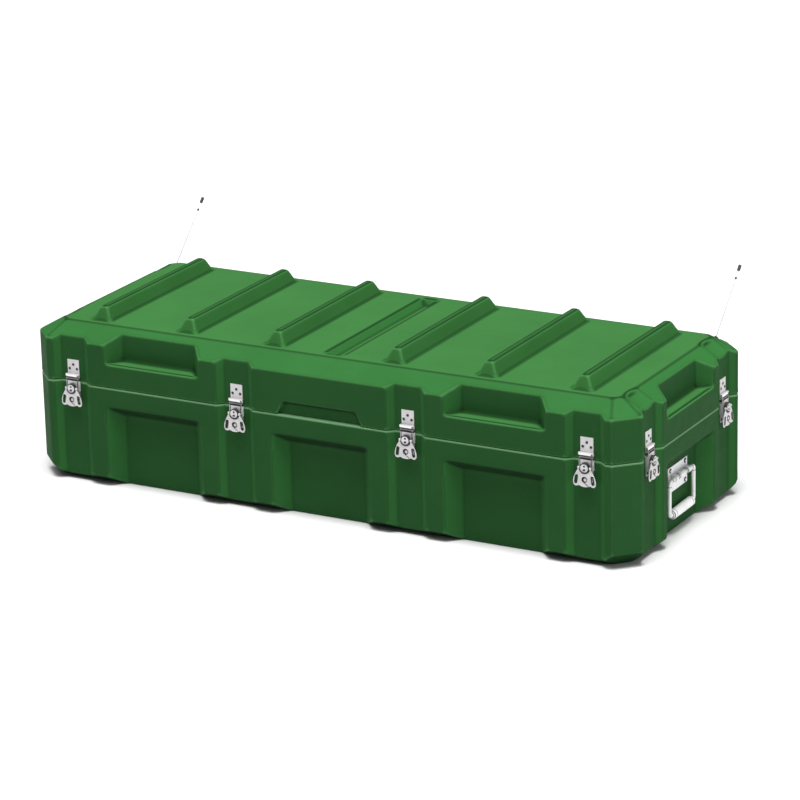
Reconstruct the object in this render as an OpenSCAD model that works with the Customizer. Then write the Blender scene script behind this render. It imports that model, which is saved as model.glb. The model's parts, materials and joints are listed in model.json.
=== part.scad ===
// Hard equipment case: two moulded half shells, rear hinges, eight rotary draw latches,
// a drop handle on each end. Millimetres. X runs along the length, -Y is the front, +Z is up.
// The origin is the middle of the footprint, on the surface the case stands on.

/* [Case] */
// Length of the case over its end walls
case_l = 1250; // [1150:10:1400]
// Depth of the case over its front and rear walls
case_w = 496; // [460:4:600]
// Height of the base's rim face
base_h = 196; // [192:1:227]
// Height at which the lid's walls meet its sloped edges
lid_rim_z = 278; // [275:1:307]
// Height of the lid's flat top, without the ribs
lid_top_z = 304; // [301:1:337]
// Wall thickness of both shells
wall_t = 6; // [5:0.5:8]
// Cut across each vertical corner, measured along the walls
corner_cut = 40; // [30:1:50]
// How far the lid's flat top is set in from the walls
top_inset = 45; // [40:1:50]
// Open gap between the two rim faces
parting_gap = 0.5; // [0.5:0.5:2]

/* [Channels and recesses] */
// Distance from the middle to the inner pair of front latches
latch_x_inner = 178; // [170:1:185]
// Distance from the middle to the outer pair of front latches
latch_x_outer = 533; // [520:1:540]
// Distance from the middle to each end latch
latch_y_end = 160; // [155:1:165]
// Width of a latch channel at the wall's face
channel_rim_w = 79; // [72:1:84]
// Width of a latch channel at its floor
channel_floor_w = 53; // [50:1:60]
// Depth of a latch channel
channel_d = 11; // [9:0.5:12]
// Width of a wall recess at the wall's face
recess_rim_w = 206; // [190:2:210]
// Width of a wall recess at its floor
recess_floor_w = 158; // [150:2:160]
// Depth of a wall recess
recess_d = 29; // [26:1:30]
// Height of the top of the base's recesses
recess_top_z = 157; // [147:1:159]
// Height of the ledge of the lid's pockets
pocket_z = 242; // [237:1:247]

/* [Ribs] */
// Distance from one stacking rib to the next
rib_pitch = 187.5; // [180:0.5:190]
// Distance from the middle to the first rib
rib_first_x = 124; // [115:1:130]
// Width of a rib at its foot
rib_foot_w = 42; // [36:1:46]
// Height of a rib
rib_h = 25; // [20:1:28]
// Length of a rib at its foot
rib_l = 376; // [350:2:380]

/* [Hardware] */
// Height of each latch's turning axis
latch_z = 184; // [183:1:185]
// Lift of a draw link over the latch's half turn
link_lift = 6; // [4:0.5:6]
// Height of the end handles' pivot
handle_z = 104; // [99:1:107]
// Length of the end handles' arms, from pivot to grip
handle_drop = 65; // [60:1:70]
// Distance between an end handle's arms
handle_w = 104; // [98:1:110]
// Length of the thin rods on the lid's rear corners
rod_l = 154; // [120:1:170]

/* [Hidden] */
$fn = 48;
lid_bottom_z = base_h + parting_gap;
half_l = case_l / 2;
half_w = case_w / 2;

// Bottom edge slope, and the taller slope at the four corners
skirt_h = 18;
corner_skirt_h = 27;
corner_dist = (half_l + half_w - corner_cut) / sqrt(2);

// Rim band, tongue and gasket groove
band_h = 14;
band_w = 28;
tongue_w = 5;
tongue_h = 4;
tongue_inset = 16.5;
groove_w = 7;
groove_d = 6;
groove_inset = tongue_inset - (groove_w - tongue_w) / 2;

// Label recess in the lid's front, and the centre groove in its top
label_w_low = 176;
label_w_high = 150;
label_h = 24;
label_d = 7;
groove_rim_w = 38;
groove_floor_w = 14;
groove_floor_d = 12;
groove_l = 376;
rib_top_w = 15;
rib_end_run = 12;
rib_skin = 5;

// Rounded strap grooves above the end channels
scoop_w = 46;
scoop_d = 5;
scoop_sink = 0.5;
scoop_r = (scoop_w * scoop_w / 4 + scoop_d * scoop_d) / (2 * scoop_d);
edge_slope = atan((lid_top_z - lid_rim_z) / top_inset);

// Hinge
hinge_out = channel_d + 4;
hinge_pin_r = 2.5;
hinge_knuckle_r = 4;
hinge_w = 44;
hinge_middle_w = 20;
hinge_play = 0.05;
leaf_t = 2.5;
leaf_h = 34;

// Latch: distances out from the channel's floor
plate_t = 2;
latch_plate_w = 22;
latch_plate_low = 155;
latch_plate_high = 194;
link_in = 5.6;
link_out = 6.8;
link_w = 26;
link_low = 170;
cam_r = 9;
cam_in = 7.1;
cam_out = 13.6;
cam_shaft_r = 3.5;
lobe_r = 6;
lobe_off = link_lift / 2;
lobe_play = 0.75;
lobe_in = 3;
cross_pin_r = 1.25;
cross_pin_out = 11.7;
cross_pin_l = 27;
run_play = 0.05;
sheet_t = 1.2;
wing_ear_w = 3.2;
keeper_w = 25;
keeper_low = 200;
keeper_high = 237.5;
hook_w = 29;
sheet_top = 210.5;
rivet_r = 1.6;
rivet_head_r = 2.7;
rivet_head_h = 0.8;
rivet_in = 4;

// End handle: distances out from the recess floor
handle_plate_w = 82;
handle_plate_h = 48;
handle_pivot_out = 9.5;
bail_r = 3.8;
grip_r = 8.8;
grip_l = 86;
knuckle_r = 6;
knuckle_l = 10;
knuckle_u = 27;
stub_inner_u = 21;
spring_r = 5.5;
spring_l = 40;
bolt_r = 2.5;
bolt_head_r = 4.5;
bolt_head_h = 2.5;
bolt_in = 5;
bolt_u = 32;
bolt_dz = 18;

// Thin rods on the lid
rod_x = 579;
rod_y = 210;
rod_r = 1;
rod_lean = 45;
rod_cap_r = 3;
rod_cap_l = 12;
rod_stop_r = 2;
rod_stop_at = 124;
socket_r = 3.5;
socket_in = 4;
socket_out = 2.5;

// Where a rod's foot meets the sloped corner of the lid
rod_run = (rod_x + rod_y) / sqrt(2) - (corner_dist - top_inset);
rod_foot_z = lid_top_z - rod_run * (lid_top_z - lid_rim_z) / top_inset;

front_x = [-latch_x_outer, -latch_x_inner, latch_x_inner, latch_x_outer];
recess_x = [for (i = [-1:1]) i * (latch_x_inner + latch_x_outer) / 2];
end_y = [-latch_y_end, latch_y_end];
rib_x = [for (s = [-1, 1], i = [0:2]) s * (rib_first_x + i * rib_pitch)];

// Each latch: its name, the middle of its channel's floor, and the turn that faces it outward
LATCHES = concat(
    [for (i = [0:3]) [str("front_", i + 1), [front_x[i], channel_d - half_w], 0]],
    [for (i = [0:1]) [str("right_", i + 1), [half_l - channel_d, end_y[i]], 90]],
    [for (i = [0:1]) [str("left_", i + 1), [channel_d - half_l, end_y[i]], -90]]
);
SIDES = [["left", -1], ["right", 1]];

// ---- Places ----

// Children are drawn with X along the wall, -Y out of the wall and Z up
module at_latch(l) {
    translate([l[1].x, l[1].y, 0]) rotate([0, 0, l[2]]) children();
}
module at_hinge(x) {
    translate([x, half_w - channel_d, 0]) rotate([0, 0, 180]) children();
}
module at_end_recess(side) {
    translate([side * (half_l - recess_d), 0, 0]) rotate([0, 0, side * 90]) children();
}

// ---- Outlines ----

// Octagon of the case, set in evenly by the given amount, between two heights
module slab(inset, z0, z1) {
    x = half_l - inset;
    y = half_w - inset;
    cut = corner_cut - inset * (2 - sqrt(2));
    translate([0, 0, z0]) linear_extrude(z1 - z0)
        polygon([[-x + cut, -y], [x - cut, -y], [x, -y + cut], [x, y - cut],
                 [x - cut, y], [-x + cut, y], [-x, y - cut], [-x, -y + cut]]);
}
module ring(inset, width, z0, z1) {
    difference() {
        slab(inset, z0, z1);
        slab(inset + width, z0 - 1, z1 + 1);
    }
}
// Upright prism with a trapezoid plan; its wide side lies on the wall's face at y = 0
module trapezoid_prism(rim_w, floor_w, depth, z0, z1) {
    over = 1;
    rim_over = rim_w / 2 + over * (rim_w - floor_w) / (2 * depth);
    translate([0, 0, z0]) linear_extrude(z1 - z0)
        polygon([[-rim_over, -over], [rim_over, -over], [floor_w / 2, depth], [-floor_w / 2, depth]]);
}
// Calls its children once for each wall face, with the face's centre at y = 0 and -Y outward
module on_front_and_rear(xs) {
    for (x = xs, turn = [0, 180]) rotate([0, 0, turn]) translate([x, -half_w, 0]) children();
}
module on_ends(ys) {
    for (y = ys, turn = [90, 270]) rotate([0, 0, turn]) translate([y, -half_l, 0]) children();
}

// ---- Shells ----

module channels(grow) {
    rim = channel_rim_w + 2 * grow;
    floor_width = channel_floor_w + 2 * grow;
    on_front_and_rear(front_x) trapezoid_prism(rim, floor_width, channel_d + grow, -1, lid_top_z + 1);
    on_ends(end_y) trapezoid_prism(rim, floor_width, channel_d + grow, -1, lid_top_z + 1);
}
// One recess of the base: open at the bottom, with a sloped top
module base_recess(grow) {
    top_run = 20;
    deep = recess_d + grow;
    top = recess_top_z + grow;
    intersection() {
        trapezoid_prism(recess_rim_w + 2 * grow, recess_floor_w + 2 * grow, deep, -1, top);
        rotate([90, 0, 90]) translate([0, 0, -recess_rim_w]) linear_extrude(2 * recess_rim_w)
            polygon([[-2, -1], [deep + 1, -1], [deep + 1, top - top_run], [deep, top - top_run],
                     [0, top], [-2, top]]);
    }
}
module base_recesses(grow) {
    on_front_and_rear(recess_x) base_recess(grow);
    on_ends([0]) base_recess(grow);
}
// Endless bar with sloped edges, seen along its length: dist is its half width, low and high
// are [run, rise] of its lower and upper slopes
module sloped_bar(dist, z0, z1, low, high) {
    side = concat([[dist - low.x, z0], [dist, z0 + low.y]], high.x > 0 ?
                  [[dist, z1 - high.y], [dist - high.x, z1]] : [[dist, z1]]);
    other = [for (i = [len(side) - 1:-1:0]) [-side[i].x, side[i].y]];
    rotate([90, 0, 0]) translate([0, 0, -case_l]) linear_extrude(2 * case_l)
        polygon(concat(side, other));
}
// Outside or inside form of a half shell, set in by t, with corners at 45 degrees
module shell_form(t, z0, z1, low, corner_low, high) {
    intersection() {
        sloped_bar(half_l - t, z0, z1, low, high);
        rotate([0, 0, 90]) sloped_bar(half_w - t, z0, z1, low, high);
        rotate([0, 0, 45]) sloped_bar(corner_dist - t, z0, z1, corner_low, high);
        rotate([0, 0, -45]) sloped_bar(corner_dist - t, z0, z1, corner_low, high);
    }
}
module base_outside() {
    shell_form(0, 0, base_h, [recess_d, skirt_h], [recess_d, corner_skirt_h], [0, 0]);
}
module base_inside() {
    shell_form(wall_t, wall_t, base_h - band_h, [recess_d - 3, skirt_h - 1],
               [recess_d - 3, corner_skirt_h - 1], [0, 0]);
}
module base_shell() {
    color("forestgreen") difference() {
        union() {
            difference() {
                base_outside();
                channels(0);
                base_recesses(0);
                difference() {
                    base_inside();
                    channels(wall_t);
                    base_recesses(wall_t);
                }
                slab(band_w, base_h - band_h - 1, base_h + 1);
            }
            ring(tongue_inset, tongue_w, base_h - 1, base_h + tongue_h);
        }
        for (l = LATCHES) at_latch(l) wall_holes(latch_plate_holes, rivet_r, rivet_in);
        for (x = front_x) at_hinge(x) wall_holes(hinge_holes_low, rivet_r, rivet_in);
        for (s = SIDES) at_end_recess(s[1]) wall_holes(handle_holes, bolt_r, bolt_in);
    }
}

// One pocket of the lid: a level ledge, open upward through the sloped edge
module lid_pocket(grow) {
    trapezoid_prism(recess_rim_w + 2 * grow, recess_floor_w + 2 * grow, recess_d + grow, pocket_z - grow,
                    lid_top_z + 1);
}
module lid_pockets(grow) {
    for (x = [recess_x[0], recess_x[2]]) translate([x, -half_w, 0]) lid_pocket(grow);
    on_ends([0]) lid_pocket(grow);
}
// Shallow plain panel in the middle of the lid's front
module label_recess(grow) {
    low = label_w_low / 2 + grow;
    high = label_w_high / 2 + grow;
    top = lid_bottom_z + label_h + grow;
    translate([0, label_d + grow - half_w, 0]) rotate([90, 0, 0]) linear_extrude(label_d + grow + 1)
        polygon([[-low, lid_bottom_z - 1], [low, lid_bottom_z - 1], [high, top], [-high, top]]);
}
// Long bar along Y with a trapezoid section and sloped ends; z = 0 is its foot
module bar(foot_w, top_w, height, length, end_run) {
    intersection() {
        rotate([90, 0, 0]) translate([0, 0, -length / 2]) linear_extrude(length)
            polygon([[-foot_w / 2, 0], [foot_w / 2, 0], [top_w / 2, height], [-top_w / 2, height]]);
        rotate([90, 0, 90]) translate([0, 0, -foot_w]) linear_extrude(2 * foot_w)
            polygon([[-length / 2, 0], [length / 2, 0], [length / 2 - end_run, height],
                     [end_run - length / 2, height]]);
    }
}
module lid_form(t) {
    run = t > 0 ? top_inset - 3 : top_inset;
    rise = t > 0 ? lid_top_z - lid_rim_z - 2 : lid_top_z - lid_rim_z;
    shell_form(t, lid_bottom_z, lid_top_z - t, [0, 1], [0, 1], [run, rise]);
}
// Rounded grooves down the sloped edges above the end channels
module scoops(grow) {
    slope_l = norm([top_inset, lid_top_z - lid_rim_z]);
    on_ends(end_y) translate([0, top_inset / 2, (lid_rim_z + lid_top_z) / 2 - scoop_sink])
        rotate([90 + edge_slope, 0, 0]) translate([0, scoop_r - scoop_d, -slope_l / 2])
            cylinder(r = scoop_r + grow, h = 2 * slope_l, $fn = 96);
}
module centre_groove(grow) {
    translate([0, 0, lid_top_z + 1]) mirror([0, 0, 1])
        bar(groove_rim_w + 2 + 2 * grow, groove_floor_w + 2 * grow, groove_floor_d + 1 + grow,
            groove_l + 2 * grow, rib_end_run);
}
module lid_shell() {
    color("forestgreen") difference() {
        union() {
            lid_form(0);
            for (x = rib_x) translate([x, 0, lid_top_z - 1])
                bar(rib_foot_w, rib_top_w, rib_h + 1, rib_l, rib_end_run);
        }
        channels(0);
        lid_pockets(0);
        label_recess(0);
        scoops(0);
        centre_groove(0);
        difference() {
            lid_form(wall_t);
            channels(wall_t);
            lid_pockets(wall_t);
            label_recess(wall_t);
            scoops(wall_t);
            centre_groove(wall_t);
            slab(0, lid_bottom_z - 1, lid_bottom_z + band_h);
        }
        for (x = rib_x) translate([x, 0, lid_top_z - wall_t - 1])
            bar(rib_foot_w - 2 * rib_skin, rib_top_w - rib_skin, rib_h + 1, rib_l - 4 * rib_skin,
                rib_end_run);
        slab(band_w, lid_bottom_z - 1, lid_bottom_z + band_h + 1);
        ring(groove_inset, groove_w, lid_bottom_z - 1, lid_bottom_z + groove_d);
        for (l = LATCHES) at_latch(l) wall_holes(keeper_holes, rivet_r, rivet_in);
        for (x = front_x) at_hinge(x) wall_holes(hinge_holes_high, rivet_r, rivet_in);
        for (s = SIDES) at_socket(s[1]) translate([0, 0, -socket_in])
            cylinder(r = socket_r, h = socket_in + 3);
    }
}
module gasket() {
    color("dimgray") ring(groove_inset, groove_w, base_h + tongue_h, lid_bottom_z + groove_d);
}

// ---- Rivets and plates ----

// Rivet or bolt along -Y: a shank into the wall and a domed head on a plate's face at y = -face
module rivet(face, shank_r, head_r, head_h, depth) {
    rotate([90, 0, 0]) translate([0, 0, -depth]) cylinder(r = shank_r, h = depth + face);
    translate([0, -face, 0]) rotate([90, 0, 0]) cylinder(r1 = head_r, r2 = head_r * 0.6, h = head_h);
}
// Flat plate with round holes, standing on the wall's face
module holed_plate(width, z0, z1, thickness, holes, hole_r) {
    difference() {
        translate([-width / 2, -thickness, z0]) cube([width, thickness, z1 - z0]);
        for (h = holes) translate([h.x, 1, h.y]) rotate([90, 0, 0]) cylinder(r = hole_r, h = thickness + 2);
    }
}
latch_plate_holes = [for (u = [-7, 7], z = [latch_plate_low + 5, latch_plate_high - 4]) [u, z]];
keeper_holes = [[0, 228], [-8, 220], [8, 220]];
hinge_holes_low = [[-14, base_h - 32], [0, base_h - 20], [14, base_h - 32]];
hinge_holes_high = [[-14, lid_bottom_z + 32], [0, lid_bottom_z + 20], [14, lid_bottom_z + 32]];
handle_holes = [for (u = [-bolt_u, bolt_u], dz = [-bolt_dz, bolt_dz]) [u, handle_z - 4 + dz]];

// The holes in a shell's wall that take the rivets' shanks
module wall_holes(holes, radius, depth) {
    for (h = holes) translate([h.x, depth, h.y]) rotate([90, 0, 0]) cylinder(r = radius, h = depth + 1);
}

// ---- Latch ----

module latch_plate() {
    difference() {
        holed_plate(latch_plate_w, latch_plate_low, latch_plate_high, plate_t, latch_plate_holes, rivet_r);
        translate([0, 1, latch_z]) rotate([90, 0, 0]) cylinder(r = cam_shaft_r + run_play, h = plate_t + 2);
    }
}
module keeper() {
    lip_in = 4.1;
    lip_out = 5.3;
    lip_top = 208.9;
    holed_plate(keeper_w, keeper_low, keeper_high, sheet_t, keeper_holes, rivet_r);
    translate([-keeper_w / 2, -lip_out, keeper_low]) cube([keeper_w, lip_out, sheet_t]);
    translate([-keeper_w / 2, -lip_out, keeper_low]) cube([keeper_w, lip_out - lip_in, lip_top - keeper_low]);
}
module draw_link() {
    flange_in = 0.4;
    flange_top = 193;
    hook_in = 2;
    sheet_tip_out = 3.2;
    sheet_tip_low = 204.5;
    window_low = 197.6;
    window_high = 202.4;
    web_top = sheet_top - sheet_t;
    slot_half = lobe_r + lobe_play;
    color("silver") difference() {
        union() {
            translate([-link_w / 2, -link_out, link_low])
                cube([link_w, link_out - link_in, web_top - link_low]);
            for (side = [-1, 1]) translate([side * (link_w - sheet_t) / 2 - sheet_t / 2, -link_out, link_low])
                cube([sheet_t, link_out - flange_in, flange_top - link_low]);
            translate([-hook_w / 2, -link_out, web_top - 3]) cube([hook_w, sheet_t, 3]);
            translate([-hook_w / 2, -link_out, web_top]) cube([hook_w, link_out - hook_in, sheet_t]);
            translate([-hook_w / 2, -sheet_tip_out, sheet_tip_low])
                cube([hook_w, sheet_tip_out - hook_in, web_top + sheet_t - sheet_tip_low]);
        }
        // slot for the cam's lobe
        round_slot(slot_half, lobe_off);
        translate([-link_w / 2 + 2.5, -link_out - 1, window_low])
            cube([link_w - 5, link_out - link_in + 2, window_high - window_low]);
    }
}
// Round-ended slot through the link's web, as wide as the lobe's swing
module round_slot(half, swing) {
    for (u = [0, swing]) translate([u, -link_in + 1, latch_z - lobe_off]) rotate([90, 0, 0])
        cylinder(r = half, h = link_out - link_in + 2);
    translate([0, -link_out - 1, latch_z - lobe_off - half]) cube([swing, link_out - link_in + 2, 2 * half]);
}
module cam() {
    dot_r = 1;
    dot_z = 3.2;
    color("silver") translate([0, 0, latch_z]) difference() {
        union() {
            rotate([90, 0, 0]) cylinder(r = cam_shaft_r, h = cam_in + 1);
            translate([0, -lobe_in, -lobe_off]) rotate([90, 0, 0])
                cylinder(r = lobe_r, h = cam_in + 1 - lobe_in);
            translate([0, -cam_in, 0]) rotate([90, 0, 0]) cylinder(r = cam_r, h = cam_out - cam_in);
            translate([-cross_pin_l / 2, -cross_pin_out, 0]) rotate([0, 90, 0])
                cylinder(r = cross_pin_r, h = cross_pin_l);
        }
        for (side = [-1, 1]) translate([0, -cam_out - 1, side * dot_z]) rotate([90, 0, 0]) mirror([0, 0, 1])
            cylinder(r = dot_r, h = 2.5);
    }
}
// Outline of the folding wing, with its pivot at the origin and Z drawn as Y
module wing_outline() {
    difference() {
        union() {
            polygon([[-12.8, -3], [-12.8, 0], [-9.6, 0], [-9.6, -8], [9.6, -8], [9.6, 0], [12.8, 0],
                     [12.8, -3], [17.5, -11], [21.5, -20], [22.2, -27], [-22.2, -27], [-21.5, -20],
                     [-17.5, -11]]);
            for (side = [-1, 1]) translate([side * 15.8, -29]) circle(r = 6.4);
            intersection() {
                translate([0, -3.6]) circle(r = 30);
                translate([-12, -40]) square([24, 20]);
            }
        }
        circle(r = 10.4);
        translate([0, -21.5]) circle(r = 5);
        for (side = [-1, 1]) rotate([0, 0, side * 8]) {
            translate([side * 12.6 - 1.7, -30]) square([3.4, 11]);
            for (z = [-30, -19]) translate([side * 12.6, z]) circle(r = 1.7);
        }
    }
}
module wing() {
    ear_r = 2.4;
    ear_u = 9.6;
    color("silver") translate([0, -cross_pin_out, latch_z]) difference() {
        union() {
            rotate([90, 0, 0]) translate([0, 0, -sheet_t / 2]) linear_extrude(sheet_t) wing_outline();
            for (side = [-1, 1]) translate([side * (ear_u + wing_ear_w / 2) - wing_ear_w / 2, 0, 0])
                rotate([0, 90, 0]) cylinder(r = ear_r, h = wing_ear_w);
        }
        translate([-cross_pin_l, 0, 0]) rotate([0, 90, 0])
            cylinder(r = cross_pin_r + run_play, h = 2 * cross_pin_l);
    }
}

// ---- Hinge ----

// Knuckle and bent web, drawn for the base side; up = 1 draws the lid side
module hinge_knuckle(u0, u1, up) {
    axis_z = base_h + parting_gap / 2;
    web_z = axis_z + up * (parting_gap / 2 + 0.5);
    translate([u0, -hinge_out, axis_z]) rotate([0, 90, 0]) cylinder(r = hinge_knuckle_r, h = u1 - u0);
    translate([u0, 0, 0]) rotate([90, 0, 90]) linear_extrude(u1 - u0)
        polygon([[0, web_z], [-hinge_out, web_z], [-hinge_out - hinge_knuckle_r * 0.5, axis_z + up * 3],
                 [-leaf_t, axis_z + up * 14], [0, axis_z + up * 14]]);
}
module hinge_base_leaf() {
    pin_z = base_h + parting_gap / 2;
    difference() {
        union() {
            holed_plate(hinge_w, base_h - leaf_h - 4, base_h - 0.5, leaf_t, hinge_holes_low, rivet_r);
            for (side = [-1, 1]) {
                inner = side > 0 ? hinge_middle_w / 2 + 0.2 : -hinge_w / 2;
                outer = side > 0 ? hinge_w / 2 : -hinge_middle_w / 2 - 0.2;
                hinge_knuckle(inner, outer, -1);
            }
        }
        translate([-hinge_w, -hinge_out, pin_z]) rotate([0, 90, 0])
            cylinder(r = hinge_pin_r, h = 2 * hinge_w);
    }
}
module hinge_lid_leaf() {
    pin_z = base_h + parting_gap / 2;
    difference() {
        union() {
            holed_plate(hinge_w, lid_bottom_z + 0.5, lid_bottom_z + leaf_h + 4, leaf_t,
                        hinge_holes_high, rivet_r);
            hinge_knuckle(-hinge_middle_w / 2, hinge_middle_w / 2, 1);
        }
        translate([-hinge_w, -hinge_out, pin_z]) rotate([0, 90, 0])
            cylinder(r = hinge_pin_r + hinge_play, h = 2 * hinge_w);
    }
}
module hinge_pin() {
    translate([-hinge_w / 2 - 1, -hinge_out, base_h + parting_gap / 2]) rotate([0, 90, 0])
        cylinder(r = hinge_pin_r, h = hinge_w + 2);
}

// ---- End handle ----

module handle_plate() {
    plate_low = handle_z - 4 - handle_plate_h / 2;
    holed_plate(handle_plate_w, plate_low, plate_low + handle_plate_h, plate_t, handle_holes, bolt_r);
    for (side = [-1, 1]) difference() {
        union() {
            translate([side * knuckle_u - knuckle_l / 2, -handle_pivot_out, handle_z]) rotate([0, 90, 0])
                cylinder(r = knuckle_r, h = knuckle_l);
            translate([side * knuckle_u - knuckle_l / 2, -handle_pivot_out, handle_z - knuckle_r])
                cube([knuckle_l, handle_pivot_out, 2 * knuckle_r]);
        }
        translate([-handle_w, -handle_pivot_out, handle_z]) rotate([0, 90, 0])
            cylinder(r = bail_r + run_play, h = 2 * handle_w);
    }
}
// Bail: two stubs in the knuckles, two arms, and the bar that carries the grip
module bail() {
    bar_z = handle_z - handle_drop;
    arm_u = handle_w / 2;
    color("gainsboro") translate([0, -handle_pivot_out, 0]) union() {
        for (side = [-1, 1]) {
            translate([side > 0 ? stub_inner_u : -arm_u, 0, handle_z]) rotate([0, 90, 0])
                cylinder(r = bail_r, h = arm_u - stub_inner_u);
            for (z = [handle_z, bar_z]) translate([side * arm_u, 0, z]) sphere(r = bail_r);
            translate([side * arm_u, 0, bar_z]) cylinder(r = bail_r, h = handle_drop);
        }
        translate([-arm_u, 0, bar_z]) rotate([0, 90, 0]) cylinder(r = bail_r, h = 2 * arm_u);
    }
}
module grip() {
    color("whitesmoke") translate([-grip_l / 2, -handle_pivot_out, handle_z - handle_drop]) rotate([0, 90, 0])
        difference() {
            cylinder(r = grip_r, h = grip_l);
            translate([0, 0, -1]) cylinder(r = bail_r, h = grip_l + 2);
        }
}
module handle_spring() {
    translate([-spring_l / 2, -handle_pivot_out, handle_z]) rotate([0, 90, 0])
        cylinder(r = spring_r, h = spring_l);
    translate([-spring_l / 2, -handle_pivot_out, handle_z]) cube([spring_l, handle_pivot_out - plate_t, 1.5]);
}

// ---- Rods on the lid ----

// Children stand along Z from the rod's foot
module at_rod(side) {
    translate([side * rod_x, rod_y, rod_foot_z]) rotate([-rod_lean, 0, 0]) children();
}
// Children stand along Z, square to the lid's sloped corner at the rod's foot
module at_socket(side) {
    translate([side * rod_x, rod_y, rod_foot_z]) rotate([0, edge_slope, 90 - side * 45]) children();
}
module rod_socket(side) {
    at_socket(side) translate([0, 0, -socket_in]) cylinder(r = socket_r, h = socket_in + socket_out);
}
module rod(side) {
    at_rod(side) cylinder(r = rod_r, h = rod_l - rod_cap_l);
}
module rod_stop(side) {
    at_rod(side) translate([0, 0, rod_stop_at]) difference() {
        cylinder(r = rod_stop_r, h = 4);
        translate([0, 0, -1]) cylinder(r = rod_r, h = 6);
    }
}
module rod_cap(side) {
    at_rod(side) translate([0, 0, rod_l - rod_cap_l]) cylinder(r = rod_cap_r, h = rod_cap_l);
}

// ---- Groups that share one node ----

module latch_plates() { color("silver") for (l = LATCHES) at_latch(l) latch_plate(); }
module keepers() { color("silver") for (l = LATCHES) at_latch(l) keeper(); }
module latch_plate_rivets() {
    color("gray") for (l = LATCHES, h = latch_plate_holes) at_latch(l) translate([h.x, 0, h.y])
        rivet(plate_t, rivet_r, rivet_head_r, rivet_head_h, rivet_in);
}
module keeper_rivets() {
    color("gray") for (l = LATCHES, h = keeper_holes) at_latch(l) translate([h.x, 0, h.y])
        rivet(sheet_t, rivet_r, rivet_head_r, rivet_head_h, rivet_in);
}
module hinge_base_leaves() { color("silver") for (x = front_x) at_hinge(x) hinge_base_leaf(); }
module hinge_lid_leaves() { color("silver") for (x = front_x) at_hinge(x) hinge_lid_leaf(); }
module hinge_pins() { color("gray") for (x = front_x) at_hinge(x) hinge_pin(); }
module hinge_base_rivets() {
    color("gray") for (x = front_x, h = hinge_holes_low) at_hinge(x) translate([h.x, 0, h.y])
        rivet(leaf_t, rivet_r, rivet_head_r, rivet_head_h, rivet_in);
}
module hinge_lid_rivets() {
    color("gray") for (x = front_x, h = hinge_holes_high) at_hinge(x) translate([h.x, 0, h.y])
        rivet(leaf_t, rivet_r, rivet_head_r, rivet_head_h, rivet_in);
}
module handle_plates() { color("lightgray") for (s = SIDES) at_end_recess(s[1]) handle_plate(); }
module handle_springs() { color("white") for (s = SIDES) at_end_recess(s[1]) handle_spring(); }
module handle_bolts() {
    color("dimgray") for (s = SIDES, h = handle_holes) at_end_recess(s[1]) translate([h.x, 0, h.y])
        rivet(plate_t, bolt_r, bolt_head_r, bolt_head_h, bolt_in);
}
module rod_sockets() { color("dimgray") for (s = SIDES) rod_socket(s[1]); }
module corner_rods() { color("lightgray") for (s = SIDES) rod(s[1]); }
module rod_stops() { color("dimgray") for (s = SIDES) rod_stop(s[1]); }
module rod_caps() { color("black") for (s = SIDES) rod_cap(s[1]); }

base_shell();
lid_shell();
gasket();
latch_plates();
latch_plate_rivets();
keepers();
keeper_rivets();
hinge_base_leaves();
hinge_lid_leaves();
hinge_pins();
hinge_base_rivets();
hinge_lid_rivets();
handle_plates();
handle_bolts();
handle_springs();
rod_sockets();
corner_rods();
rod_stops();
rod_caps();
for (s = SIDES) {
    at_end_recess(s[1]) bail();
    at_end_recess(s[1]) grip();
}
for (l = LATCHES) {
    at_latch(l) draw_link();
    at_latch(l) cam();
    at_latch(l) wing();
}
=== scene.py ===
import json
import math
import bmesh
import bpy
import numpy as np
from mathutils import Matrix, Vector


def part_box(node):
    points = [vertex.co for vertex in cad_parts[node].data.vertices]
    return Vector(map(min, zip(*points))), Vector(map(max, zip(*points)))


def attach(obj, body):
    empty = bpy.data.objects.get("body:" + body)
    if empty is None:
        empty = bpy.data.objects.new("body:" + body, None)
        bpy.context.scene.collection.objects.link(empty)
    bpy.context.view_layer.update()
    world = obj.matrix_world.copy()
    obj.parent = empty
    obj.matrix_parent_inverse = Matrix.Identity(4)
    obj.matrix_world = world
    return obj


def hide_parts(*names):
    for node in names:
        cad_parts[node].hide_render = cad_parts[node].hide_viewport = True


# Hard equipment case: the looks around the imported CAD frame. Lengths are metres, or millimetres
# inside a Build.

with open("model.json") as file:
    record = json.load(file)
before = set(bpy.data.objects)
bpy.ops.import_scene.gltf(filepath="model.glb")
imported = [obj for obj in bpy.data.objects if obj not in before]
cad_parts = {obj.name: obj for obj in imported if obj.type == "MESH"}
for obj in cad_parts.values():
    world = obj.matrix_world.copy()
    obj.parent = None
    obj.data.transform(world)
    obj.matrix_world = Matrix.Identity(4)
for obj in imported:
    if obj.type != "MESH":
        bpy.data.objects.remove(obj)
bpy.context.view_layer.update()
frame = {"nodes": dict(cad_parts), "record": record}

MM = 0.001
LATCHES = ["front_1", "front_2", "front_3", "front_4", "right_1", "right_2", "left_1", "left_2"]
SIDES = {"left": -1, "right": 1}
SLOTS = {s["node"]: s["material_slot"] for s in frame["record"]["subparts"]}
BEHAVIOUR = frame["record"]["behaviour"]
BODIES = {node: body for body, nodes in BEHAVIOUR["bodies"].items() for node in nodes}
JOINTS = {joint["name"]: joint for joint in BEHAVIOUR["joints"]}


# ---- Camera, light and floor ----

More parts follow.
